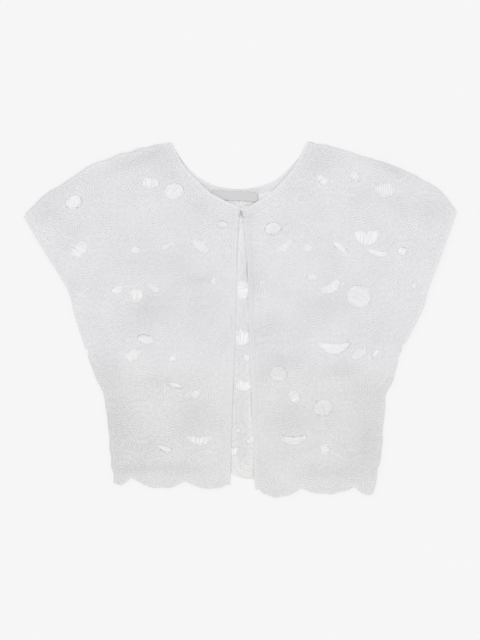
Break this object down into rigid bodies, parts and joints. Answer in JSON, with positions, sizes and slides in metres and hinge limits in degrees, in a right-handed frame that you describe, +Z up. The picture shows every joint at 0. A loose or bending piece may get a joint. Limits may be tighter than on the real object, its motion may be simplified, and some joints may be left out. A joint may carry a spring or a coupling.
{
  "type": "crochet cardigan",
  "caption": "Cropped open-front crochet lace cardigan with short cap sleeves and a scalloped hem, laid flat with its fronts upwards.",
  "frame": {"origin": "middle of the garment on the surface that it lies on", "axes": "+Z up from the surface, +Y from the hem to the neck, +X towards the wearer's left sleeve"},
  "size_m": [0.672, 0.55, 0.0089],
  "materials": {
    "cotton_lace": "matt mercerised cotton crochet lace",
    "cotton_trim": "matt close crochet edging",
    "woven_label": "smooth woven tape",
    "nickel_plated_wire": "nickel plated"
  },
  "bodies": {
    "root": {"back": "cotton_lace", "right_front": "cotton_lace", "left_front": "cotton_lace", "back_neck_band": "cotton_trim", "right_neck_band": "cotton_trim", "left_neck_band": "cotton_trim", "right_front_edging": "cotton_trim", "left_front_edging": "cotton_trim", "right_front_armhole_edging": "cotton_trim", "right_back_armhole_edging": "cotton_trim", "left_front_armhole_edging": "cotton_trim", "left_back_armhole_edging": "cotton_trim", "label": "woven_label", "neck_hook": "nickel_plated_wire", "neck_eye": "nickel_plated_wire"}
  },
  "joints": []
}
